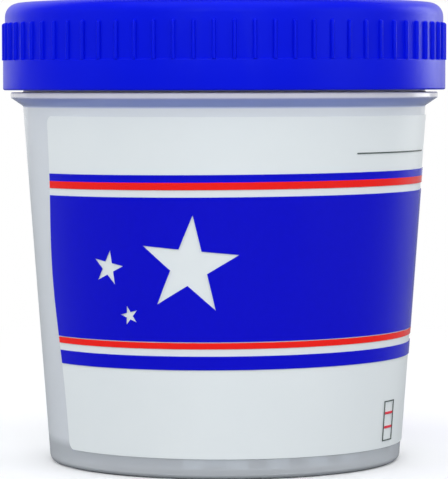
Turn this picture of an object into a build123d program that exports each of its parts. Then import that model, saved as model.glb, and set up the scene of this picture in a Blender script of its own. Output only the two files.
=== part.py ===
from build123d import *
import math
import os

# Drug test cup: a tapered frosted cup with a screw lid, a wrap label, and a curved carrier of test
# strips inside. Millimetres, +Z up, with the origin on the table at the cup's axis.
# Angles are in degrees from the front, which faces -Y, and grow towards +X.

# Cup body
foot_radius = 32.75  # outer wall carried straight down to the table
wall_top_radius = 37.6  # outer wall where its taper ends
wall_top = 66.2  # height where the taper ends
wall = 1.1
floor_thickness = 1.0
foot_recess = 0.7  # underside of the floor above the table
foot_ring_width = 2.4
foot_corner = 1.2
floor_bevel = 0.3
flange_overhang = 2.3  # from the top of the taper to the flange's edge
flange_slope = 1.55  # height of the flange's sloping underside
flange_edge = 1.0  # height of the flange's upright edge
flange_bevel = 0.25
neck_height = 13.65  # from the flange to the rim
rim_bevel = 0.3

# Screw thread, two starts
thread_lead = 9.0
thread_starts = 2
thread_depth = 1.3
ridge_root = 1.8  # height of a ridge where it leaves its wall
ridge_crest = 0.8
ridge_bury = 0.3  # how far a ridge runs into its wall
thread_rise = 3.1  # first ridge of the neck above the flange
neck_sweep_angle = 250.0  # how far one ridge of the neck goes round
lid_sweep_angle = 200.0
thread_gap = 0.4  # radial clearance at the crests
flank_gap = 0.2  # upright clearance between the ridges

# Screw lid
lid_wall = 2.0
lid_gap = 0.4  # lid above the flange
lid_edge_bevel = 0.3
band_height = 5.55  # plain lower band
band_step = 0.4  # the ribbed zone's ground lies this far inside the band
rib_count = 72
rib_root_width = 0.9
rib_tip_width = 0.5
rib_bury = 0.3  # how far a rib runs into its wall
rib_proud = 0.2  # rib tips outside the band
rib_top_margin = 1.1  # ribs end this far below the crown's round edge
rib_end_bevel = 0.45
first_rib_angle = 2.5
crown_round = 2.6
top_thickness = 1.7
top_recess = 0.3
top_rim_width = 5.5
plug_depth = 4.0
plug_wall = 1.2
plug_gap = 0.12  # plug inside the neck
plug_bevel = 0.4

# Seal ring
seal_thickness = 1.0
seal_gap = 0.1  # from the rim, and from the lid's underside
seal_margin = 0.2  # from the lid's wall, and from its plug

# Strip carrier
carrier_gap = 0.2  # from the cup's wall
carrier_lift = 0.25  # feet above the cup's floor, clear of its bevel
channel_depth = 1.5
channel_wall = 0.9
carrier_plate = 0.9
plate_bottom = 5.2
plate_top_margin = 0.9  # plate below the top of the taper
carrier_start_angle = -69.0
end_rib_angles = (-55.5, -50.0)
leg_angle = -3.3
leg_width = 3.9
window_start_angle = -67.0
window_end_angle = -58.5
window_top = 18.5

# Test strips
strip_count = 12
first_strip_angle = -10.2
strip_pitch_angle = 14.0
strip_width = 3.9
strip_length = 60.0
strip_lift = 0.2  # lower end above the floor
strip_seat = 0.05  # backing off the channel's floor
strip_side_gap = 0.15  # from each wall of its channel
backing = 0.35
# Pads from the lower end up. The absorbent pad fills what is left of the strip.
sample_length = 17.0
sample_thickness = 0.85
conjugate_length = 8.0
conjugate_thickness = 0.5
membrane_length = 20.0
membrane_thickness = 0.15
absorbent_thickness = 0.8

# Wrap label and its print
label_start_angle = -60.5
label_end_angle = 190.0
label_bottom = 3.75
label_top_margin = 1.7  # label below the top of the taper
label_thickness = 0.15
label_gap = 0.06  # its glue
label_corner = 1.6
ink = 0.08
ink_gap = 0.08
print_skew_angle = 0.4  # the print rises towards the right
stripes_drop = 10.15  # upper edge of the upper stripes below the label's top
top_blue_stripe = 1.35
top_red_stripe = 1.3
top_white_stripe = 1.3
field_height = 25.65
field_hairline = 0.15
low_red_stripe = 1.1
low_white_stripe = 1.3
low_blue_stripe = 2.45
# Stars: angle of the middle, its height in the field, radius of the points, turn.
stars = ((-10.1, 13.45, 9.1, -5.0), (-35.4, 12.85, 3.3, -11.0), (-28.7, 4.45, 1.85, 14.0))
star_waist = 0.382  # inner corners, as a share of the points' radius
write_line_start_angle = 39.4
write_line_end_angle = 78.0
write_line_drop = 6.9  # below the label's top
print_line = 0.22
# Outlined picture of a strip window with two lines
picture_start_angle = 59.3
picture_end_angle = 66.0
picture_rise = 1.25  # above the label's bottom
picture_height = 7.4
picture_line_rises = (2.3, 4.9)  # above the picture's bottom
picture_line = 0.45

# Room that a cutter or a trimmed layer gets past what it meets
cut_room = 2.0

# Heights and radii that follow
floor_top = foot_recess + floor_thickness
flange_top = wall_top + flange_slope + flange_edge
rim = flange_top + neck_height
flange_radius = wall_top_radius + flange_overhang
neck_radius = wall_top_radius
neck_bore = neck_radius - wall
draft = math.degrees(math.atan2(wall_top_radius - foot_radius, wall_top))

lid_bore = neck_radius + thread_depth + thread_gap
lid_bottom = flange_top + lid_gap
band_radius = lid_bore + lid_wall
ledge = lid_bottom + band_height
rib_tip = band_radius + rib_proud
crown_radius = band_radius - band_step
lid_underside = rim + seal_thickness + 2 * seal_gap
lid_top = lid_underside + top_thickness
rib_length = lid_top - crown_round - rib_top_margin - ledge
plug_radius = neck_bore - plug_gap
ridge_start = flange_top + thread_rise
# Where the crests pass each other, two ridges together are this high.
ridge_pass = (ridge_root + ridge_crest) / 2 - (ridge_root - ridge_crest) * (thread_gap / thread_depth) / 2

channel_width = strip_width + 2 * strip_side_gap
carrier_depth = channel_depth + carrier_plate
carrier_foot = floor_top + carrier_lift
plate_top = wall_top - plate_top_margin
last_strip_angle = first_strip_angle + strip_pitch_angle * (strip_count - 1)

label_top = wall_top - label_top_margin
top_stripes = label_top - stripes_drop
write_line_height = label_top - write_line_drop
picture_bottom = label_bottom + picture_rise
picture_top = picture_bottom + picture_height


def outer_radius(height):
    """Outside of the tapered wall at a height."""
    return foot_radius + (wall_top_radius - foot_radius) * height / wall_top


def carrier_radius(height):
    """Outer face of the strip carrier at a height."""
    return outer_radius(height) - wall - carrier_gap


def degrees_at(length, radius):
    """The angle that a short length takes up at a radius."""
    return math.degrees(length / radius)


def at_angle(angle):
    """Carries what was made along +X to an angle from the front."""
    return Rot(0, 0, angle - 90)


def turned(points, start=-180.0, end=180.0, rounds=None):
    """A closed outline of (radius, height) points, turned about the axis between two angles.

    rounds gives the corner radius of some points, by their place in the outline."""
    radii = [(rounds or {}).get(k, 0) for k in range(len(points))]
    outline = FilletPolyline(*points, radius=radii, close=True)
    section = Plane.XZ * make_face(outline)
    return at_angle(start) * revolve(section, Axis.Z, end - start)


def sheet(inside, thickness, bottom, top, start, end):
    """A layer that follows the taper, from one height and angle to another."""
    return turned(
        [
            (inside(bottom), bottom),
            (inside(bottom) + thickness, bottom),
            (inside(top) + thickness, top),
            (inside(top), top),
        ],
        start,
        end,
    )


def thread_ridge(root, crest, height, start, sweep):
    """A right-handed ridge that starts at an angle and height and climbs with the thread's lead."""
    bury = math.copysign(ridge_bury, root - crest)
    corners = [
        (root + bury, -ridge_root / 2),
        (crest, -ridge_crest / 2),
        (crest, ridge_crest / 2),
        (root + bury, ridge_root / 2),
    ]
    climb = thread_lead * sweep / 360
    edges = [Edge.make_helix(thread_lead, climb, r, center=(0, 0, z)) for r, z in corners]
    sides = [
        Face.make_surface_from_curves(edge, following)
        for edge, following in zip(edges, edges[1:] + edges[:1])
    ]
    ends = [Face(Wire.make_polygon([edge @ end for edge in edges])) for end in (0, 1)]
    return at_angle(start) * Pos(0, 0, height) * Solid(Shell(sides + ends))


def make_cup_body():
    """One moulding: foot ring, floor, tapered wall, flange and threaded neck."""
    foot_bore = foot_radius - foot_corner - foot_ring_width
    floor_edge = outer_radius(floor_top) - wall
    outline = [
        (0, foot_recess),
        (foot_bore, foot_recess),
        (foot_bore, 0),
        (foot_radius, 0),
        (wall_top_radius, wall_top),
        (flange_radius, wall_top + flange_slope),
        (flange_radius, flange_top - flange_bevel),
        (flange_radius - flange_bevel, flange_top),
        (neck_radius, flange_top),
        (neck_radius, rim - rim_bevel),
        (neck_radius - rim_bevel, rim),
        (neck_bore + rim_bevel, rim),
        (neck_bore, rim - rim_bevel),
        (neck_bore, wall_top),
        (outer_radius(floor_top + floor_bevel) - wall, floor_top + floor_bevel),
        (floor_edge - floor_bevel, floor_top),
        (0, floor_top),
    ]
    body = turned(outline, rounds={outline.index((foot_radius, 0)): foot_corner})
    for start in range(thread_starts):
        body += thread_ridge(
            neck_radius,
            neck_radius + thread_depth,
            ridge_start,
            start * 360 / thread_starts,
            neck_sweep_angle,
        )
    return body


def make_screw_lid():
    """One moulding: plain band, ribbed crown, plug seal and inner thread."""
    top_bore = crown_radius - top_rim_width
    plug_bore = plug_radius - plug_wall
    plug_end = lid_underside - plug_depth
    outline = [
        (lid_bore, lid_bottom),
        (band_radius - lid_edge_bevel, lid_bottom),
        (band_radius, lid_bottom + lid_edge_bevel),
        (band_radius, ledge),
        (crown_radius, ledge),
        (crown_radius, lid_top),
        (top_bore, lid_top),
        (top_bore - top_recess, lid_top - top_recess),
        (0, lid_top - top_recess),
        (0, lid_underside),
        (plug_bore, lid_underside),
        (plug_bore, plug_end),
        (plug_radius - plug_bevel, plug_end),
        (plug_radius, plug_end + plug_bevel),
        (plug_radius, lid_underside),
        (lid_bore, lid_underside),
    ]
    lid = turned(outline, rounds={outline.index((crown_radius, lid_top)): crown_round})

    buried = crown_radius - rib_bury
    section = Polyline(
        (buried, -rib_root_width / 2),
        (rib_tip, -rib_tip_width / 2),
        (rib_tip, rib_tip_width / 2),
        (buried, rib_root_width / 2),
        close=True,
    )
    rib = extrude(make_face(section), rib_length)
    upper_edge = rib.edges().filter_by(Axis.Y).group_by(Axis.Z)[-1].sort_by(Axis.X)[-1]
    rib = Pos(0, 0, ledge) * chamfer(upper_edge, rib_end_bevel)
    lid += [at_angle(first_rib_angle + k * 360 / rib_count) * rib for k in range(rib_count)]

    for start in range(thread_starts):
        lid += thread_ridge(
            lid_bore,
            lid_bore - thread_depth,
            ridge_start - ridge_pass - flank_gap,
            start * 360 / thread_starts,
            lid_sweep_angle,
        )
    return lid


def make_seal_ring():
    """Flat ring that closes the rim, between the plug and the lid's wall."""
    inner = plug_radius + seal_margin
    outer = lid_bore - seal_margin
    bottom = rim + seal_gap
    top = bottom + seal_thickness
    return turned([(inner, bottom), (outer, bottom), (outer, top), (inner, top)])


def channel_frame(angle):
    """The floor of a strip's channel: x outward, y along the wall, z up the slope."""
    return at_angle(angle) * Pos(carrier_radius(0) - channel_depth, 0, 0) * Rot(0, draft, 0)


def make_strip_carrier():
    """Curved tray that stands against the wall, with open channels that face outward."""
    end = last_strip_angle + degrees_at(channel_width / 2 + channel_wall, carrier_radius(plate_bottom))

    def layer(depth, thickness, bottom, top, start, end):
        return sheet(lambda z: carrier_radius(z) - depth, thickness, bottom, top, start, end)

    tray = layer(carrier_depth, carrier_plate, plate_bottom, plate_top, carrier_start_angle, end)
    middle = carrier_radius((plate_bottom + plate_top) / 2)
    narrowest = min(carrier_radius(plate_bottom), carrier_radius(plate_top)) - channel_depth
    half_wall = degrees_at(channel_wall, middle) / 2
    wall_offset = degrees_at(channel_width / 2, narrowest) + half_wall
    upright = [carrier_start_angle + half_wall, *end_rib_angles]
    for k in range(strip_count):
        centre = first_strip_angle + k * strip_pitch_angle
        upright += [centre - wall_offset, centre + wall_offset]
    for angle in upright:
        tray += layer(
            carrier_depth,
            carrier_depth,
            carrier_foot if angle in end_rib_angles else plate_bottom,
            plate_top,
            angle - half_wall,
            angle + half_wall,
        )
    half_leg = degrees_at(leg_width, middle) / 2
    tray += layer(
        carrier_depth, carrier_plate, carrier_foot, plate_bottom, leg_angle - half_leg, leg_angle + half_leg
    )
    tray += layer(carrier_depth, carrier_depth, carrier_foot, plate_bottom, end - 2 * half_wall, end)
    tray -= layer(
        carrier_depth + cut_room,
        carrier_depth + 2 * cut_room,
        plate_bottom - cut_room,
        window_top,
        window_start_angle,
        window_end_angle,
    )
    return tray


def make_test_strip(index):
    """Backing card with four pads on its outer face, one behind the other."""
    absorbent_length = strip_length - sample_length - conjugate_length - membrane_length
    pads = [
        (sample_length, sample_thickness),
        (conjugate_length, conjugate_thickness),
        (membrane_length, membrane_thickness),
        (absorbent_length, absorbent_thickness),
    ]
    low = (Align.MIN, Align.CENTER, Align.MIN)
    layers = [Pos(strip_seat, 0, 0) * Box(backing, strip_width, strip_length, align=low)]
    height = 0.0
    for length, thickness in pads:
        layers.append(Pos(strip_seat + backing, 0, height) * Box(thickness, strip_width, length, align=low))
        height += length
    strip = Compound(children=layers)
    frame = channel_frame(first_strip_angle + index * strip_pitch_angle)
    return frame * Pos(0, 0, floor_top + strip_lift) * strip


def label_face(height):
    return outer_radius(height) + label_gap


def ink_face(height):
    return label_face(height) + label_thickness + ink_gap


def facing_out(height):
    """A plane on the wall along +X that faces outward, with its y up the wall."""
    return Plane(origin=(outer_radius(height), 0, height), x_dir=(0, 1, 0), z_dir=(1, 0, 0))


def print_band(bottom, top, start=label_start_angle, end=label_end_angle):
    """A printed band between two heights, on the print's slope."""
    width = 2 * (max(ink_face(bottom), ink_face(top)) + cut_room)
    slab = Pos(0, 0, (bottom + top) / 2) * Rot(0, -print_skew_angle, 0) * Box(width, width, top - bottom)
    return sheet(ink_face, ink, bottom - cut_room, top + cut_room, start, end) & slab


def star_cutter(angle, height, radius, turn):
    """A five-pointed star that points outward through the print."""
    corners = []
    for k in range(10):
        reach = radius if k % 2 == 0 else radius * star_waist
        bearing = math.radians(90 + turn + 36 * k)
        corners.append((reach * math.cos(bearing), reach * math.sin(bearing)))
    star = extrude(make_face(Polyline(*corners, close=True)), 2 * cut_room, both=True)
    return at_angle(angle) * (facing_out(height) * star)


def make_wrap_label():
    """White film round the front and right of the wall, with round corners on its free edge."""
    label = sheet(label_face, label_thickness, label_bottom, label_top, label_start_angle, label_end_angle)
    square = Rectangle(label_corner, label_corner, align=(Align.MIN, Align.MIN))
    corner = extrude(square - Pos(label_corner, label_corner) * Circle(label_corner), cut_room, both=True)
    label -= at_angle(label_start_angle) * (facing_out(label_bottom) * corner)
    label -= at_angle(label_start_angle) * (facing_out(label_top) * mirror(corner, Plane.XZ))
    return label


def make_print():
    """The printed fields, by node name."""
    blue_top = top_stripes - top_blue_stripe
    red_top = blue_top - top_red_stripe
    field_top = red_top - top_white_stripe
    field_bottom = field_top - field_height
    low_red = field_bottom - field_hairline - low_red_stripe
    low_blue = low_red - low_white_stripe - low_blue_stripe

    field = print_band(field_bottom, field_top)
    for angle, rise, radius, turn in stars:
        field -= star_cutter(angle, field_bottom + rise, radius, turn)

    line = degrees_at(print_line, foot_radius)
    lines_start = picture_start_angle + 2 * line
    lines_end = picture_end_angle - 2 * line
    frame = sheet(ink_face, ink, picture_bottom, picture_top, picture_start_angle, picture_end_angle)
    frame -= sheet(
        lambda z: ink_face(z) - cut_room,
        2 * cut_room,
        picture_bottom + print_line,
        picture_top - print_line,
        picture_start_angle + line,
        picture_end_angle - line,
    )
    return {
        "label_blue_top_stripe": print_band(blue_top, top_stripes),
        "label_red_top_stripe": print_band(red_top, blue_top),
        "label_blue_field": field,
        "label_red_low_stripe": print_band(low_red, low_red + low_red_stripe),
        "label_blue_low_stripe": print_band(low_blue, low_blue + low_blue_stripe),
        "label_write_line": print_band(
            write_line_height, write_line_height + print_line, write_line_start_angle, write_line_end_angle
        ),
        "label_window_outline": frame,
        "label_window_lines": Compound(
            children=[
                sheet(
                    ink_face,
                    ink,
                    picture_bottom + rise,
                    picture_bottom + rise + picture_line,
                    lines_start,
                    lines_end,
                )
                for rise in picture_line_rises
            ]
        ),
    }


def main():
    nodes = {
        "cup_body": make_cup_body(),
        "screw_lid": make_screw_lid(),
        "lid_seal_ring": make_seal_ring(),
        "strip_carrier": make_strip_carrier(),
        "wrap_label": make_wrap_label(),
    }
    for k in range(strip_count):
        nodes[f"test_strip_{k + 1:02d}"] = make_test_strip(k)
    nodes.update(make_print())
    os.makedirs("parts", exist_ok=True)
    for name, shape in nodes.items():
        export_step(shape, f"parts/{name}.step")


main()
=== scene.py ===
import math

import bmesh
import bpy
from mathutils import Euler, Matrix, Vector
from mathutils.geometry import delaunay_2d_cdt


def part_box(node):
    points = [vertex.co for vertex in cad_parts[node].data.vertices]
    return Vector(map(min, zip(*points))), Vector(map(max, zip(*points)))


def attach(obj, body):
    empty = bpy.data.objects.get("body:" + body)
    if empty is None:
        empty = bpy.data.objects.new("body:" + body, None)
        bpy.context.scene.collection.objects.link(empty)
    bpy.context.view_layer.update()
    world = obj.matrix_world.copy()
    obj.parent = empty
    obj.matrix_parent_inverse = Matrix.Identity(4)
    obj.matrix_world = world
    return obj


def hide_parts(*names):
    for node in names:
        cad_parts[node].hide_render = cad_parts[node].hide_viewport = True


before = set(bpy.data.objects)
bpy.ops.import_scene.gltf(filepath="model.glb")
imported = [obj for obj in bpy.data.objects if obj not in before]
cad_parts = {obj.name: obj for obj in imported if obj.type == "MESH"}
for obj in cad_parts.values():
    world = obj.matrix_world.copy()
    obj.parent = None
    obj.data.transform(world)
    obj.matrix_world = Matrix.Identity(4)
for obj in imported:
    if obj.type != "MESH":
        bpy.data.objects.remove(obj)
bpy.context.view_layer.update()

scene = bpy.context.scene

# Sizes are in millimetres and turned to metres by MM. Angles are degrees from the front, which
# faces -Y, and grow towards +X.
MM = 0.001
front = -90.0  # the front's bearing from +X


def node_heights(node):
    """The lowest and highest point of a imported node, in millimetres."""
    low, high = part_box(node)
    return low[2] / MM, high[2] / MM


# Cup
lid_bottom, lid_top = node_heights("screw_lid")
rim = node_heights("cup_body")[1]
foot_radius = 32.75
wall_top_radius = 37.6
wall_top = 66.2
wall = 1.1
foot_recess = 0.7
floor_thickness = 1.0
foot_ring_width = 2.4
foot_corner = 1.2
flange_radius = 39.9
flange_slope = 1.55
flange_edge = 1.0
neck_radius = wall_top_radius
neck_bore = neck_radius - wall
flange_top = wall_top + flange_slope + flange_edge

# Screw lid
lid_wall = 2.0
band_height = 5.55
band_step = 0.4
crown_round = 2.6
top_thickness = 1.7
top_recess = 0.3
top_rim_width = 5.5
plug_depth = 4.0
plug_wall = 1.2
plug_gap = 0.12
thread_depth = 1.3
thread_gap = 0.4
lid_bore = neck_radius + thread_depth + thread_gap
band_radius = lid_bore + lid_wall
ledge = lid_bottom + band_height
crown_radius = band_radius - band_step
lid_underside = lid_top - top_thickness
plug_radius = neck_bore - plug_gap

# Ribs
rib_count = 72
first_rib_angle = 2.5
rib_width = 0.8
rib_proud = 0.6  # out of the ground between the ribs
rib_top = 81.6

# Threads
thread_lead = 9.0
thread_starts = 2
ridge_root = 1.8
ridge_crest = 0.8
ridge_bury = 0.3
neck_ridge_start = 71.85
lid_ridge_start = 70.5
neck_turns = 250 / 360
lid_turns = 200 / 360

# Label and print
label_bottom, label_top = node_heights("wrap_label")
label_start = -58.4
label_bow = 3.4  # degrees by which the free edge bows out at its middle
label_bow_height = 36.0
label_bow_spread = 16.0
label_margin = 0.35  # white border beside the print
label_end = 190.0
label_gap = 0.06
label_thickness = 0.15
label_corner = 1.6
ink = 0.08
ink_gap = 0.08
print_skew = math.tan(math.radians(0.4))
top_stripes = 54.35
top_blue_stripe = 1.35
top_red_stripe = 1.3
top_white_stripe = 1.3
field_height = 25.65
field_hairline = 0.15
low_red_stripe = 1.1
low_white_stripe = 1.3
low_blue_stripe = 2.45
stars = ((-10.1, 38.2, 9.1, -5.0), (-35.4, 37.6, 3.3, -11.0), (-28.7, 29.2, 1.85, 14.0))
star_waist = 0.382
write_line = (39.4, 78.0, 57.6)
print_line = 0.22
picture = (59.3, 66.0, 5.0, 12.4)
picture_line_heights = (7.3, 9.9)
picture_line = 0.45

turned_segments = 288
arc_steps = 8


def outer_radius(height):
    """Outside of the cup's taper at a height."""
    return foot_radius + (wall_top_radius - foot_radius) * height / wall_top


# Nodes and trees


def add(tree, kind, inputs=None, **settings):
    """Adds a node, with its settings, and its inputs as values or as sockets to link."""
    node = tree.nodes.new(kind)
    for name, value in settings.items():
        setattr(node, name, value)
    for name, value in (inputs or {}).items():
        if isinstance(value, bpy.types.NodeSocket):
            tree.links.new(value, node.inputs[name])
        else:
            node.inputs[name].default_value = value
    return node


def form_tree(name, sizes):
    """A Geometry Nodes tree with a form, named sizes and a finish as its inputs."""
    tree = bpy.data.node_groups.new(name, "GeometryNodeTree")
    tree.interface.new_socket("Form", in_out="INPUT", socket_type="NodeSocketGeometry")
    for size, kind in sizes.items():
        tree.interface.new_socket(size, in_out="INPUT", socket_type=f"NodeSocket{kind}")
    tree.interface.new_socket("Finish", in_out="INPUT", socket_type="NodeSocketMaterial")
    tree.interface.new_socket("Form", in_out="OUTPUT", socket_type="NodeSocketGeometry")
    return tree, add(tree, "NodeGroupInput").outputs


def end_tree(tree, given, form):
    """Ends a tree in Realize Instances and Set Material."""
    real = add(tree, "GeometryNodeRealizeInstances", {"Geometry": form})
    dressed = add(tree, "GeometryNodeSetMaterial", {"Geometry": real.outputs[0], "Material": given["Finish"]})
    add(tree, "NodeGroupOutput", {"Form": dressed.outputs[0]})
    return tree


def turning_tree():
    """Carries an outline of (radius - 1 mm, -height) round the axis."""
    tree, given = form_tree("turned outline", {"Segments": "Int", "Path radius": "Float"})
    outline = add(tree, "GeometryNodeMeshToCurve", {"Mesh": given["Form"]})
    circle = add(
        tree,
        "GeometryNodeCurvePrimitiveCircle",
        {"Resolution": given["Segments"], "Radius": given["Path radius"]},
    )
    swept = add(
        tree, "GeometryNodeCurveToMesh", {"Curve": circle.outputs[0], "Profile Curve": outline.outputs[0]}
    )
    joined = add(tree, "GeometryNodeMergeByDistance", {"Geometry": swept.outputs[0], "Distance": 1e-6})
    return end_tree(tree, given, joined.outputs[0])


def round_tree():
    """Repeats a form about the axis."""
    tree, given = form_tree(
        "repeated round the axis", {"Count": "Int", "First turn": "Float", "Step": "Float"}
    )
    places = add(tree, "GeometryNodeMeshLine", {"Count": given["Count"], "Offset": (0, 0, 0)})
    index = add(tree, "GeometryNodeInputIndex")
    turn = add(
        tree,
        "ShaderNodeMath",
        {0: index.outputs[0], 1: given["Step"], 2: given["First turn"]},
        operation="MULTIPLY_ADD",
    )
    turned = add(tree, "ShaderNodeCombineXYZ", {"Z": turn.outputs[0]})
    rotation = add(tree, "FunctionNodeEulerToRotation", {0: turned.outputs[0]})
    copies = add(
        tree,
        "GeometryNodeInstanceOnPoints",
        {"Points": places.outputs[0], "Instance": given["Form"], "Rotation": rotation.outputs[0]},
    )
    return end_tree(tree, given, copies.outputs[0])


def helix_tree():
    """Carries a ridge's section up a helix, once for each start of the thread."""
    sizes = {"Turns": "Float", "Radius": "Float", "Climb": "Float", "Foot": "Float", "Starts": "Int"}
    tree, given = form_tree("thread ridges", sizes)
    section = add(tree, "GeometryNodeMeshToCurve", {"Mesh": given["Form"]})
    helix = add(
        tree,
        "GeometryNodeCurveSpiral",
        {
            "Resolution": 96,
            "Rotations": given["Turns"],
            "Start Radius": given["Radius"],
            "End Radius": given["Radius"],
            "Height": given["Climb"],
        },
    )
    swept = add(
        tree,
        "GeometryNodeCurveToMesh",
        {"Curve": helix.outputs[0], "Profile Curve": section.outputs[0], "Fill Caps": True},
    )
    lift = add(tree, "ShaderNodeCombineXYZ", {"Z": given["Foot"]})
    placed = add(
        tree, "GeometryNodeTransform", {"Geometry": swept.outputs[0], "Translation": lift.outputs[0]}
    )
    places = add(tree, "GeometryNodeMeshLine", {"Count": given["Starts"], "Offset": (0, 0, 0)})
    index = add(tree, "GeometryNodeInputIndex")
    step = add(tree, "ShaderNodeMath", {0: math.tau, 1: given["Starts"]}, operation="DIVIDE")
    turn = add(tree, "ShaderNodeMath", {0: index.outputs[0], 1: step.outputs[0]}, operation="MULTIPLY")
    turned = add(tree, "ShaderNodeCombineXYZ", {"Z": turn.outputs[0]})
    rotation = add(tree, "FunctionNodeEulerToRotation", {0: turned.outputs[0]})
    copies = add(
        tree,
        "GeometryNodeInstanceOnPoints",
        {"Points": places.outputs[0], "Instance": placed.outputs[0], "Rotation": rotation.outputs[0]},
    )
    return end_tree(tree, given, copies.outputs[0])


def closed_up(mesh, sharp_above=40.0):
    """Joins doubled points, turns the faces outward and shades smooth between sharp edges."""
    form = bmesh.new()
    form.from_mesh(mesh)
    bmesh.ops.remove_doubles(form, verts=form.verts, dist=1e-6)
    bmesh.ops.dissolve_degenerate(form, edges=form.edges, dist=1e-7)
    bmesh.ops.recalc_face_normals(form, faces=form.faces)
    form.to_mesh(mesh)
    form.free()
    mesh.shade_smooth()
    mesh.set_sharp_from_angle(angle=math.radians(sharp_above))


def piece_of(name, mesh, material, body, *nodes):
    """A finished piece at the origin that rides on a body and stands for CAD nodes."""
    mesh.materials.clear()
    mesh.materials.append(material)
    piece = bpy.data.objects.new(name, mesh)
    scene.collection.objects.link(piece)
    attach(piece, body)
    if nodes:
        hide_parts(*nodes)
    return piece


def grown(mesh, tree, sizes, material):
    """The plain mesh that a tree makes from a starting mesh."""
    source = bpy.data.objects.new("start", mesh)
    scene.collection.objects.link(source)
    modifier = source.modifiers.new("tree", "NODES")
    modifier.node_group = tree
    values = dict(sizes, Finish=material)
    for item in tree.interface.items_tree:
        if item.in_out == "INPUT" and item.name in values:
            modifier[item.identifier] = values[item.name]
    evaluated = source.evaluated_get(bpy.context.evaluated_depsgraph_get())
    result = bpy.data.meshes.new_from_object(evaluated)
    source.modifiers.remove(modifier)
    bpy.data.objects.remove(source)
    closed_up(result)
    return result


# Outlines


def rounded(corners):
    """Points of a closed outline from (radius, height) or (radius, height, fillet) corners."""
    points = []
    for k, corner in enumerate(corners):
        here = Vector(corner[:2])
        fillet = corner[2] if len(corner) > 2 else 0
        if not fillet:
            points.append(tuple(here))
            continue
        back = (Vector(corners[k - 1][:2]) - here).normalized()
        ahead = (Vector(corners[(k + 1) % len(corners)][:2]) - here).normalized()
        half = back.angle(ahead) / 2
        centre = here + (back + ahead).normalized() * fillet / math.sin(half)
        start = here + back * fillet / math.tan(half) - centre
        end = here + ahead * fillet / math.tan(half) - centre
        sweep = start.angle_signed(end)
        for step in range(arc_steps + 1):
            turn = -sweep * step / arc_steps
            points.append(
                (
                    centre.x + start.x * math.cos(turn) - start.y * math.sin(turn),
                    centre.y + start.x * math.sin(turn) + start.y * math.cos(turn),
                )
            )
    return points


def loop_mesh(points):
    """A closed ring of edges."""
    mesh = bpy.data.meshes.new("outline")
    count = len(points)
    mesh.from_pydata(points, [(k, (k + 1) % count) for k in range(count)], [])
    return mesh


def turned_piece(corners, material):
    """The mesh of a closed outline carried round the axis."""
    path = 1.0
    points = [((radius - path) * MM, -height * MM, 0) for radius, height in rounded(corners)]
    sizes = {"Segments": turned_segments, "Path radius": path * MM}
    return grown(loop_mesh(points), turning_tree(), sizes, material)


def joined(*meshes):
    """One mesh from several."""
    form = bmesh.new()
    for mesh in meshes:
        form.from_mesh(mesh)
    result = bpy.data.meshes.new("joined")
    form.to_mesh(result)
    form.free()
    result.shade_smooth()
    result.set_sharp_from_angle(angle=math.radians(40))
    return result


def on_wall(across, height, offset):
    """A place on the taper, from millimetres along the wall and height."""
    turn = across / wall_top_radius
    radius = outer_radius(height) + offset
    return Vector((radius * math.sin(turn), -radius * math.cos(turn), height)) * MM


def inside(point, ring):
    """Whether a point lies in a closed ring of points."""
    hit = False
    for a, b in zip(ring, ring[1:] + ring[:1]):
        if (a[1] > point[1]) != (b[1] > point[1]):
            if point[0] < a[0] + (point[1] - a[1]) * (b[0] - a[0]) / (b[1] - a[1]):
                hit = not hit
    return hit


def even_steps(ring, step):
    """A closed ring with points added so that none of its edges is longer than a step."""
    result = []
    for a, b in zip(ring, ring[1:] + ring[:1]):
        count = max(1, math.ceil(math.dist(a, b) / step))
        result += [
            (a[0] + (b[0] - a[0]) * k / count, a[1] + (b[1] - a[1]) * k / count) for k in range(count)
        ]
    return result


def wrapped(outline, offset, thickness, holes=(), step=1.0):
    """A thin closed sheet that lies on the taper, from its flat outline and holes."""
    rings = [even_steps(list(ring), step) for ring in (outline, *holes)]
    points, edges = [], []
    for ring in rings:
        first = len(points)
        points += ring
        edges += [(first + k, first + (k + 1) % len(ring)) for k in range(len(ring))]
    low = [min(p[axis] for p in rings[0]) for axis in (0, 1)]
    high = [max(p[axis] for p in rings[0]) for axis in (0, 1)]
    for column in range(1, int((high[0] - low[0]) / step)):
        for row in range(1, int((high[1] - low[1]) / (2 * step)) + 1):
            place = (low[0] + column * step, low[1] + row * 2 * step)
            if inside(place, rings[0]) and not any(inside(place, ring) for ring in rings[1:]):
                if min(math.dist(place, p) for p in near(points, place, step)) > 0.3 * step:
                    points.append(place)
    flat = delaunay_2d_cdt([Vector(p) for p in points], edges, [], 1, 1e-5)
    places, triangles = flat[0], flat[2]
    mesh_form = bmesh.new()
    outer = [mesh_form.verts.new(on_wall(p.x, p.y, offset + thickness)) for p in places]
    inner = [mesh_form.verts.new(on_wall(p.x, p.y, offset)) for p in places]
    border = {}
    for face in triangles:
        middle = [sum(places[v][axis] for v in face) / len(face) for axis in (0, 1)]
        if any(inside(middle, ring) for ring in rings[1:]) or not inside(middle, rings[0]):
            continue
        mesh_form.faces.new([outer[v] for v in face])
        mesh_form.faces.new([inner[v] for v in reversed(face)])
        for a, b in zip(face, face[1:] + face[:1]):
            if (b, a) in border:
                del border[(b, a)]
            else:
                border[(a, b)] = True
    for a, b in border:
        mesh_form.faces.new([outer[b], outer[a], inner[a], inner[b]])
    for vert in [v for v in mesh_form.verts if not v.link_faces]:
        mesh_form.verts.remove(vert)
    mesh = bpy.data.meshes.new("sheet")
    mesh_form.to_mesh(mesh)
    mesh_form.free()
    closed_up(mesh)
    return mesh


def near(points, place, reach):
    """Points close to a place, and one that stands in when there are none."""
    found = [p for p in points if abs(p[0] - place[0]) < reach and abs(p[1] - place[1]) < reach]
    return found or [(place[0] + reach, place[1])]


def across(angle):
    """Millimetres along the wall at an angle."""
    return math.radians(angle) * wall_top_radius


# Materials


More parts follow.
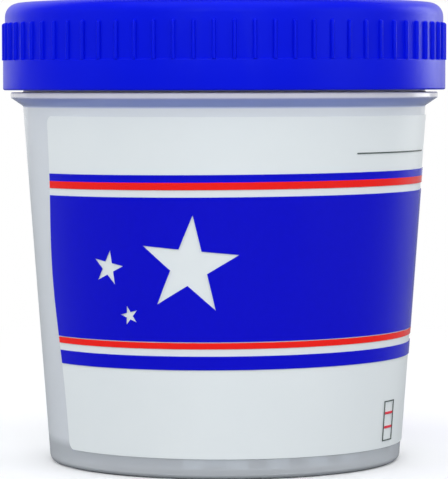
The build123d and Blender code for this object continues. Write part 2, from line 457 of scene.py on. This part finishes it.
def linear(colour):
    """A linear colour from an sRGB hex value."""
    parts = [int(colour[k : k + 2], 16) / 255 for k in (1, 3, 5)]
    return [c / 12.92 if c <= 0.04045 else ((c + 0.055) / 1.055) ** 2.4 for c in parts] + [1.0]


def material_of(name):
    """A new material with its tree, its shader and the Object coordinates."""
    material = bpy.data.materials.new(name)
    material.use_nodes = True
    tree = material.node_tree
    shader = tree.nodes["Principled BSDF"]
    place = add(tree, "ShaderNodeTexCoord").outputs["Object"]
    return material, tree, shader, place


def speckled(tree, place, size, low, high):
    """Noise with a real size in millimetres, brought to a range."""
    noise = add(tree, "ShaderNodeTexNoise", {"Vector": place, "Scale": 1 / (size * MM), "Detail": 3.0})
    return add(
        tree, "ShaderNodeMapRange", {"Value": noise.outputs["Fac"], "To Min": low, "To Max": high}
    ).outputs[0]


def two_tone(tree, factor, first, second):
    """A mix of two sRGB colours."""
    mix = add(tree, "ShaderNodeMix", {"Factor": factor}, data_type="RGBA")
    mix.inputs[6].default_value = linear(first)
    mix.inputs[7].default_value = linear(second)
    return mix.outputs[2]


def bumped(tree, height, depth):
    """A bump of a depth in millimetres."""
    return add(tree, "ShaderNodeBump", {"Height": height, "Distance": depth * MM, "Strength": 0.5}).outputs[0]


def by_height(tree, place, stops):
    """Colours or shares that go over into each other between heights in millimetres."""
    low, high = 0.0, 70.0
    height = add(tree, "ShaderNodeSeparateXYZ", {"Vector": place}).outputs["Z"]
    share = add(tree, "ShaderNodeMapRange", {"Value": height, "From Min": low * MM, "From Max": high * MM})
    ramp = add(tree, "ShaderNodeValToRGB", {"Fac": share.outputs[0]})
    elements = ramp.color_ramp.elements
    elements.remove(elements[1])
    for k, (level, value) in enumerate(stops):
        place_in_ramp = (level - low) / (high - low)
        stop = elements[0] if k == 0 else elements.new(place_in_ramp)
        stop.position = place_in_ramp
        stop.color = linear(value) if isinstance(value, str) else (value, value, value, 1.0)
    return ramp.outputs[0]


def on_inner_face(tree, place):
    """1 on the cup's polished inner face, 0 on its frosted outer face."""
    place = add(tree, "ShaderNodeSeparateXYZ", {"Vector": place}).outputs
    level = add(tree, "ShaderNodeCombineXYZ", {"X": place["X"], "Y": place["Y"]}).outputs[0]
    radius = add(tree, "ShaderNodeVectorMath", {0: level}, operation="LENGTH").outputs["Value"]
    slope = (wall_top_radius - foot_radius) / wall_top
    middle = (foot_radius - wall / 2) * MM
    taper = add(tree, "ShaderNodeMath", {0: place["Z"], 1: wall_top * MM}, operation="MINIMUM").outputs[0]
    edge = add(tree, "ShaderNodeMath", {0: taper, 1: slope, 2: middle}, operation="MULTIPLY_ADD").outputs[0]
    return add(tree, "ShaderNodeMath", {0: radius, 1: edge}, operation="LESS_THAN").outputs[0]


def blue_polypropylene():
    """Injection-moulded polypropylene with blue masterbatch: deep colour and a soft satin gloss."""
    material, tree, shader, place = material_of("blue_moulded_polypropylene")
    flow = speckled(tree, place, 9.0, 0.0, 1.0)
    tree.links.new(two_tone(tree, flow, "#0413DD", "#0310D4"), shader.inputs["Base Color"])
    tree.links.new(speckled(tree, place, 2.5, 0.3, 0.38), shader.inputs["Roughness"])
    shader.inputs["IOR"].default_value = 1.49
    shader.inputs["Specular IOR Level"].default_value = 0.2
    shader.inputs["Specular Tint"].default_value = linear("#A9C8FF")
    grain = add(tree, "ShaderNodeTexNoise", {"Vector": place, "Scale": 1 / (0.5 * MM), "Detail": 2.0})
    tree.links.new(bumped(tree, grain.outputs["Fac"], 0.01), shader.inputs["Normal"])
    return material


def frosted_polypropylene():
    """Natural polypropylene from a textured mould: milky, faintly clear, clearest below the label.

    The blue in the flange's underside is painted light: the lid's blue is painted into the cup's colour
    there, and it stays when the lid is raised."""
    material, tree, shader, place = material_of("frosted_natural_polypropylene")
    # The blue stops from 66.3 to 67.5 mm are a painted reflection of the blue lid, not the plastic's own
    # colour.
    tree.links.new(
        by_height(tree, place, ((65.9, "#F0F6FD"), (66.3, "#ACBDFF"), (67.5, "#A0B2FF"), (67.9, "#E6E6EE"))),
        shader.inputs["Base Color"],
    )
    outside = ((4.0, 0.52), (5.5, 0.26), (67.5, 0.2), (67.9, 0.1), (68.8, 0.1), (69.2, 0.26))
    clear = by_height(tree, place, outside)
    clearer = add(tree, "ShaderNodeMix", {"Factor": on_inner_face(tree, place), "A": clear, "B": 0.97})
    tree.links.new(clearer.outputs[0], shader.inputs["Transmission Weight"])
    frost = by_height(tree, place, ((65.9, 0.26), (66.3, 0.12)))
    tree.links.new(frost, shader.inputs["Roughness"])
    shader.inputs["IOR"].default_value = 1.49
    return material


def label_film():
    """White coated label film, smooth, with the faint waviness of film on a round wall."""
    material, tree, shader, place = material_of("white_label_film")
    tree.links.new(
        two_tone(tree, speckled(tree, place, 14.0, 0.0, 1.0), "#E8EEF0", "#E2E9EC"),
        shader.inputs["Base Color"],
    )
    shader.inputs["Roughness"].default_value = 0.35
    shader.inputs["IOR"].default_value = 1.5
    wave = add(tree, "ShaderNodeTexNoise", {"Vector": place, "Scale": 1 / (8 * MM), "Detail": 1.0})
    tree.links.new(bumped(tree, wave.outputs["Fac"], 0.03), shader.inputs["Normal"])
    return material


def printed_ink(name, colour, second):
    """Flexographic ink on film: flat colour with a fine mottle, under the film's own gloss."""
    material, tree, shader, place = material_of(name)
    tree.links.new(
        two_tone(tree, speckled(tree, place, 1.2, 0.0, 1.0), colour, second), shader.inputs["Base Color"]
    )
    shader.inputs["Roughness"].default_value = 0.2
    shader.inputs["IOR"].default_value = 1.5
    shader.inputs["Specular IOR Level"].default_value = 0.25
    return material


def white_polystyrene():
    """Moulded white polystyrene: opaque, smooth and faintly blue."""
    material, tree, shader, place = material_of("white_moulded_polystyrene")
    tree.links.new(
        two_tone(tree, speckled(tree, place, 10.0, 0.0, 1.0), "#DDE4EA", "#D5DDE5"),
        shader.inputs["Base Color"],
    )
    shader.inputs["Roughness"].default_value = 0.4
    return material


def strip_fibre():
    """Glass fibre and cellulose pads on card: matte white, with a faint pink conjugate pad."""
    material, tree, shader, place = material_of("white_fibre_pads")
    ramp_top = 65.0
    conjugate_pad, membrane, absorbent_pad = 18.8, 26.8, 46.8  # heights where they start
    height = add(tree, "ShaderNodeSeparateXYZ", {"Vector": place}).outputs["Z"]
    share = add(tree, "ShaderNodeMapRange", {"Value": height, "From Max": ramp_top * MM})
    pads = add(tree, "ShaderNodeValToRGB", {"Fac": share.outputs[0]})
    pads.color_ramp.interpolation = "CONSTANT"
    stops = pads.color_ramp.elements
    stops[0].color = linear("#EEF1F2")
    stops[1].position = conjugate_pad / ramp_top
    stops[1].color = linear("#E6D3DC")
    for start, colour in ((membrane, "#F4F5F5"), (absorbent_pad, "#E9EDEE")):
        stops.new(start / ramp_top).color = linear(colour)
    fibres = add(tree, "ShaderNodeTexNoise", {"Vector": place, "Scale": 1 / (0.4 * MM), "Detail": 4.0})
    tree.links.new(pads.outputs[0], shader.inputs["Base Color"])
    tree.links.new(bumped(tree, fibres.outputs["Fac"], 0.05), shader.inputs["Normal"])
    shader.inputs["Roughness"].default_value = 0.85
    return material


def seal_foam():
    """White foamed polyethylene, closed-cell and matte."""
    material, tree, shader, place = material_of("white_foamed_polyethylene")
    cells = add(tree, "ShaderNodeTexVoronoi", {"Vector": place, "Scale": 1 / (0.4 * MM)})
    tree.links.new(
        two_tone(tree, cells.outputs["Distance"], "#F0EFEA", "#E4E3DE"), shader.inputs["Base Color"]
    )
    shader.inputs["Roughness"].default_value = 0.7
    return material


blue_plastic = blue_polypropylene()
frosted_plastic = frosted_polypropylene()
film = label_film()
blue_ink = printed_ink("blue_printed_ink", "#0203CE", "#0203C6")
red_ink = printed_ink("red_printed_ink", "#F5211B", "#EE1D18")
dark_ink = printed_ink("grey_printed_ink", "#56635F", "#4E5A57")
red_line_ink = printed_ink("pink_red_printed_ink", "#E8364A", "#DF3044")

# Pieces


def ridge_section(root, crest, path):
    """A thread ridge's section, about a helix of the path's radius."""
    bury = math.copysign(ridge_bury, root - crest)
    corners = [
        (root + bury, -ridge_root / 2),
        (crest, -ridge_crest / 2),
        (crest, ridge_crest / 2),
        (root + bury, ridge_root / 2),
    ]
    return loop_mesh([((radius - path) * MM, -height * MM, 0) for radius, height in corners])


def thread(root, crest, foot, turns, material):
    """The ridges of a thread, whose first one starts at the front."""
    sizes = {
        "Turns": turns,
        "Radius": root * MM,
        "Climb": turns * thread_lead * MM,
        "Foot": foot * MM,
        "Starts": thread_starts,
    }
    mesh = grown(ridge_section(root, crest, root), helix_tree(), sizes, material)
    mesh.transform(Euler((0, 0, math.radians(front))).to_matrix().to_4x4())
    return mesh


def make_cup():
    """Foot ring, floor, taper, flange and threaded neck in one moulding."""
    floor_top = foot_recess + floor_thickness
    foot_bore = foot_radius - foot_corner - foot_ring_width
    corner_height = floor_top + 0.6
    corners = [
        (0, foot_recess),
        (foot_bore, foot_recess, 0.3),
        (foot_bore, 0, 0.2),
        (foot_radius, 0, foot_corner),
        (wall_top_radius, wall_top, 0.3),
        (flange_radius, wall_top + flange_slope, 0.25),
        (flange_radius, flange_top, 0.25),
        (neck_radius, flange_top, 0.2),
        (neck_radius, rim, 0.35),
        (neck_bore, rim, 0.35),
        (neck_bore, wall_top, 0.5),
        (outer_radius(corner_height) - wall, corner_height),
        (outer_radius(floor_top) - wall - 0.5, floor_top),
        (0, floor_top),
    ]
    body = turned_piece(corners, frosted_plastic)
    ridges = thread(neck_radius, neck_radius + thread_depth, neck_ridge_start, neck_turns, frosted_plastic)
    piece = piece_of("cup_moulding", joined(body, ridges), frosted_plastic, "cup", "cup_body")


def rib_mesh():
    """One grip rib: a rounded bar with a domed upper end, standing on the ledge."""
    form = bmesh.new()
    steps = 10
    dome_steps = 6
    bury = 0.05  # into the crown's wall
    bury_foot = 0.02  # into the ledge
    base = crown_radius - bury
    dome = [math.pi / 2 * k / dome_steps for k in range(dome_steps + 1)]
    sections = [(ledge - bury_foot, 1.0)]
    sections += [(rib_top - rib_width / 2 * (1 - math.sin(t)), math.cos(t)) for t in dome]
    rings = []
    for height, share in sections:
        ring = []
        for k in range(steps + 1):
            turn = math.pi * k / steps
            radius = base + (rib_proud + bury) * math.sin(turn) * share
            ring.append(
                form.verts.new(Vector((radius, -rib_width / 2 * share * math.cos(turn), height)) * MM)
            )
        rings.append(ring)
    for low, high in zip(rings, rings[1:]):
        for k in range(steps + 1):
            form.faces.new([low[k], low[(k + 1) % (steps + 1)], high[(k + 1) % (steps + 1)], high[k]])
    form.faces.new(list(reversed(rings[0])))
    mesh = bpy.data.meshes.new("rib")
    bmesh.ops.remove_doubles(form, verts=form.verts, dist=1e-7)
    form.to_mesh(mesh)
    form.free()
    return mesh


def make_lid():
    """Plain band, ribbed crown, plug seal and inner thread in one moulding."""
    top_bore = crown_radius - top_rim_width
    plug_bore = plug_radius - plug_wall
    plug_end = lid_underside - plug_depth
    corners = [
        (lid_bore, lid_bottom, 0.15),
        (band_radius, lid_bottom, 0.35),
        (band_radius, ledge, 0.18),
        (crown_radius, ledge),
        (crown_radius, lid_top, crown_round),
        (top_bore, lid_top, 0.2),
        (top_bore - top_recess, lid_top - top_recess, 0.1),
        (0, lid_top - top_recess),
        (0, lid_underside),
        (plug_bore, lid_underside, 0.3),
        (plug_bore, plug_end, 0.3),
        (plug_radius, plug_end, 0.5),
        (plug_radius, lid_underside, 0.2),
        (lid_bore, lid_underside, 0.3),
    ]
    shell = turned_piece(corners, blue_plastic)
    ridges = thread(lid_bore, lid_bore - thread_depth, lid_ridge_start, lid_turns, blue_plastic)
    sizes = {
        "Count": rib_count,
        "First turn": math.radians(first_rib_angle + front),
        "Step": math.tau / rib_count,
    }
    ribs = grown(rib_mesh(), round_tree(), sizes, blue_plastic)
    piece = piece_of("lid_moulding", joined(shell, ridges, ribs), blue_plastic, "lid", "screw_lid")


def free_edge(height):
    """Millimetres along the wall at the label's free edge, which bows a little."""
    bow = label_bow * math.exp(-(((height - label_bow_height) / label_bow_spread) ** 2))
    return across(label_start - bow)


def make_label():
    """White film with round corners on its free edge."""
    right = across(label_end)
    corner = []
    for k in range(arc_steps + 1):
        turn = math.pi / 2 * k / arc_steps
        corner.append((label_corner * (1 - math.sin(turn)), label_corner * (1 - math.cos(turn))))
    outline = [(free_edge(label_bottom + y) + x, label_bottom + y) for x, y in reversed(corner)]
    outline = outline + [(right, label_bottom), (right, label_top)]
    outline += [(free_edge(label_top - y) + x, label_top - y) for x, y in corner]
    straight = label_top - label_bottom - 2 * label_corner
    heights = [label_top - label_corner - straight * k / 24 for k in range(1, 24)]
    outline += [(free_edge(height), height) for height in heights]
    piece = piece_of(
        "label_skin", wrapped(outline, label_gap, label_thickness), film, "cup", "wrap_label"
    )


def band_outline(bottom, top, start=None, end=label_end):
    """The flat outline of a printed band, on the print's slope. It starts at the free edge's border."""

    def edge(height):
        first = across(start) if start is not None else free_edge(height) + label_margin
        steps = max(2, math.ceil((across(end) - first) / 2))
        places = [first + (across(end) - first) * k / steps for k in range(steps + 1)]
        return [
            (place, height + print_skew * outer_radius(height) * math.sin(place / wall_top_radius))
            for place in places
        ]

    rise = [bottom + (top - bottom) * k / 16 for k in range(1, 16)] if start is None else []
    side = [edge(height)[0] for height in reversed(rise)]
    return edge(bottom) + list(reversed(edge(top))) + side


def star_outline(angle, height, radius, turn):
    """A five-pointed star, flat. The wall is narrower down here than where across() counts."""
    widen = wall_top_radius / outer_radius(height)
    points = []
    for k in range(10):
        reach = radius if k % 2 == 0 else radius * star_waist
        bearing = math.radians(90 + turn + 36 * k)
        points.append(
            (across(angle) + widen * reach * math.cos(bearing), height + reach * math.sin(bearing))
        )
    return points


def make_print():
    """Stripes, the field with its stars, the write-on line and the small window picture."""
    blue_top = top_stripes - top_blue_stripe
    red_top = blue_top - top_red_stripe
    field_top = red_top - top_white_stripe
    field_bottom = field_top - field_height
    low_red = field_bottom - field_hairline - low_red_stripe
    low_blue = low_red - low_white_stripe - low_blue_stripe
    face = label_gap + label_thickness + ink_gap
    bands = {
        "label_blue_top_stripe": (blue_top, top_stripes, blue_ink, "ink_blue"),
        "label_red_top_stripe": (red_top, blue_top, red_ink, "ink_red"),
        "label_red_low_stripe": (low_red, low_red + low_red_stripe, red_ink, "ink_red"),
        "label_blue_low_stripe": (low_blue, low_blue + low_blue_stripe, blue_ink, "ink_blue"),
    }
    for node, (bottom, top, colour, slot) in bands.items():
        mesh = wrapped(band_outline(bottom, top), face, ink)
        piece_of(node + "_print", mesh, colour, "cup", node)

    holes = [star_outline(*star) for star in stars]
    mesh = wrapped(band_outline(field_bottom, field_top), face, ink, holes)
    piece_of("label_field_print", mesh, blue_ink, "cup", "label_blue_field")

    start, end, height = write_line
    mesh = wrapped(band_outline(height, height + print_line, start, end), face, ink)
    piece_of("write_line_print", mesh, dark_ink, "cup", "label_write_line")

    left, right, bottom, top = picture
    line = math.degrees(print_line / foot_radius)

    def box_ring(inset_angle, inset):
        return [
            (across(left + inset_angle), bottom + inset),
            (across(right - inset_angle), bottom + inset),
            (across(right - inset_angle), top - inset),
            (across(left + inset_angle), top - inset),
        ]

    mesh = wrapped(box_ring(0, 0), face, ink, [box_ring(line, print_line)], step=0.5)
    piece_of("window_outline_print", mesh, dark_ink, "cup", "label_window_outline")
    lines = [
        wrapped(
            [
                (across(left + 2 * line), z),
                (across(right - 2 * line), z),
                (across(right - 2 * line), z + picture_line),
                (across(left + 2 * line), z + picture_line),
            ],
            face,
            ink,
            step=0.5,
        )
        for z in picture_line_heights
    ]
    piece = piece_of("window_lines_print", joined(*lines), red_line_ink, "cup", "label_window_lines")


def dress_nodes():
    """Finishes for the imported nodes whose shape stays."""
    finishes = {"strip_carrier": white_polystyrene(), "lid_seal_ring": seal_foam()}
    fibre = strip_fibre()
    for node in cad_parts:
        if node.startswith("test_strip"):
            finishes[node] = fibre
    for node, finish in finishes.items():
        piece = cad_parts[node]
        piece.data.materials.clear()
        piece.data.materials.append(finish)


make_cup()
make_lid()
make_label()
make_print()
dress_nodes()

# Studio


def lens_sees(tree):
    """1 for what the camera sees, also through clear parts."""
    ray = add(tree, "ShaderNodeLightPath").outputs
    return add(
        tree, "ShaderNodeMath", {0: ray["Is Camera Ray"], 1: ray["Is Transmission Ray"]}, operation="MAXIMUM"
    ).outputs[0]


def make_floor():
    """Pale paper that keeps the shadow and goes over into the white backdrop further out.

    Light that bounces off it, or mirrors it, sees a darker grey."""
    material, tree, shader, place = material_of("pale_studio_paper")
    tree.links.new(two_tone(tree, lens_sees(tree), "#808488", "#F6F7F9"), shader.inputs["Base Color"])
    shader.inputs["Roughness"].default_value = 0.8
    reach = add(tree, "ShaderNodeVectorMath", {0: place}, operation="LENGTH").outputs["Value"]
    far = add(
        tree,
        "ShaderNodeMapRange",
        {"Value": reach, "From Min": 0.06, "From Max": 0.3},
        interpolation_type="SMOOTHSTEP",
    ).outputs[0]
    share = add(tree, "ShaderNodeMath", {0: far, 1: lens_sees(tree)}, operation="MULTIPLY").outputs[0]
    backdrop = add(tree, "ShaderNodeEmission", {"Strength": 1.0}).outputs[0]
    mixed = add(tree, "ShaderNodeMixShader", {0: share, 1: shader.outputs[0], 2: backdrop})
    tree.links.new(mixed.outputs[0], tree.nodes["Material Output"].inputs["Surface"])
    mesh = bpy.data.meshes.new("floor")
    width = 3.0
    mesh.from_pydata(
        [(-width, -width, 0), (width, -width, 0), (width, width, 0), (-width, width, 0)], [], [(0, 1, 2, 3)]
    )
    mesh.materials.append(material)
    floor = bpy.data.objects.new("floor", mesh)
    scene.collection.objects.link(floor)


def soft_light(name, place, size, power, mirrored, target=(0, 0, 0.045)):
    """A soft box that faces its target, hidden from the lens, and shows in gloss if mirrored."""
    lamp = bpy.data.lights.new(name, "AREA")
    lamp.shape = "RECTANGLE"
    lamp.size, lamp.size_y = size
    lamp.energy = power
    light = bpy.data.objects.new(name, lamp)
    light.location = place
    light.rotation_euler = (Vector(target) - Vector(place)).to_track_quat("-Z", "Y").to_euler()
    light.visible_glossy = mirrored
    light.visible_camera = False
    light.visible_transmission = False
    scene.collection.objects.link(light)


def make_world():
    """White surroundings that don't show in the gloss."""
    world = bpy.data.worlds.new("studio")
    world.use_nodes = True
    scene.world = world
    tree = world.node_tree
    strength = add(tree, "ShaderNodeMix", {"Factor": lens_sees(tree), "A": 0.55, "B": 1.0}).outputs[0]
    sky = tree.nodes["Background"]
    sky.inputs["Color"].default_value = linear("#FFFFFF")
    tree.links.new(strength, sky.inputs["Strength"])
    world.cycles_visibility.glossy = False


def make_camera():
    """The photograph's view: 560 mm away, a little above the label, looking slightly down."""
    distance = 560.0
    height = 70.5
    off_axis = -0.09
    pitch = 3.007
    roll = -0.10
    focal_pixels = 2986.7
    frame_height = 479
    sensor = 36.0
    lens = bpy.data.cameras.new("camera")
    lens.sensor_width = sensor
    lens.lens = focal_pixels / frame_height * sensor
    lens.clip_start = 0.01
    camera = bpy.data.objects.new("camera", lens)
    camera.location = Vector((off_axis, -distance, height)) * MM
    look = Euler((math.radians(90 - pitch), 0, 0)).to_matrix()
    camera.rotation_euler = (look @ Euler((0, 0, math.radians(roll))).to_matrix()).to_euler()
    scene.collection.objects.link(camera)
    scene.camera = camera


make_floor()
make_world()
make_camera()
soft_light("top soft box", (0, -0.25, 0.75), (0.9, 0.7), 2.0, True)
soft_light("front soft box", (0, -1.1, 0.45), (0.8, 0.6), 5.5, False)
soft_light("right rim box", (1.05, 0.95, 0.25), (0.55, 0.9), 3.9, True)
soft_light("bright wall behind", (0.8, 1.2, 0.5), (4.4, 2.0), 25.0, True, target=(0.8, 0, 0.5))
soft_light("left rim box", (-1.0, 0.5, 0.2), (0.5, 0.7), 3.6, False)
soft_light("left soft box", (-0.85, -0.35, 0.3), (0.5, 0.7), 2.1, False)
soft_light("right soft box", (0.8, -0.45, 0.3), (0.5, 0.7), 2.1, False)
scene.view_settings.view_transform = "Standard"
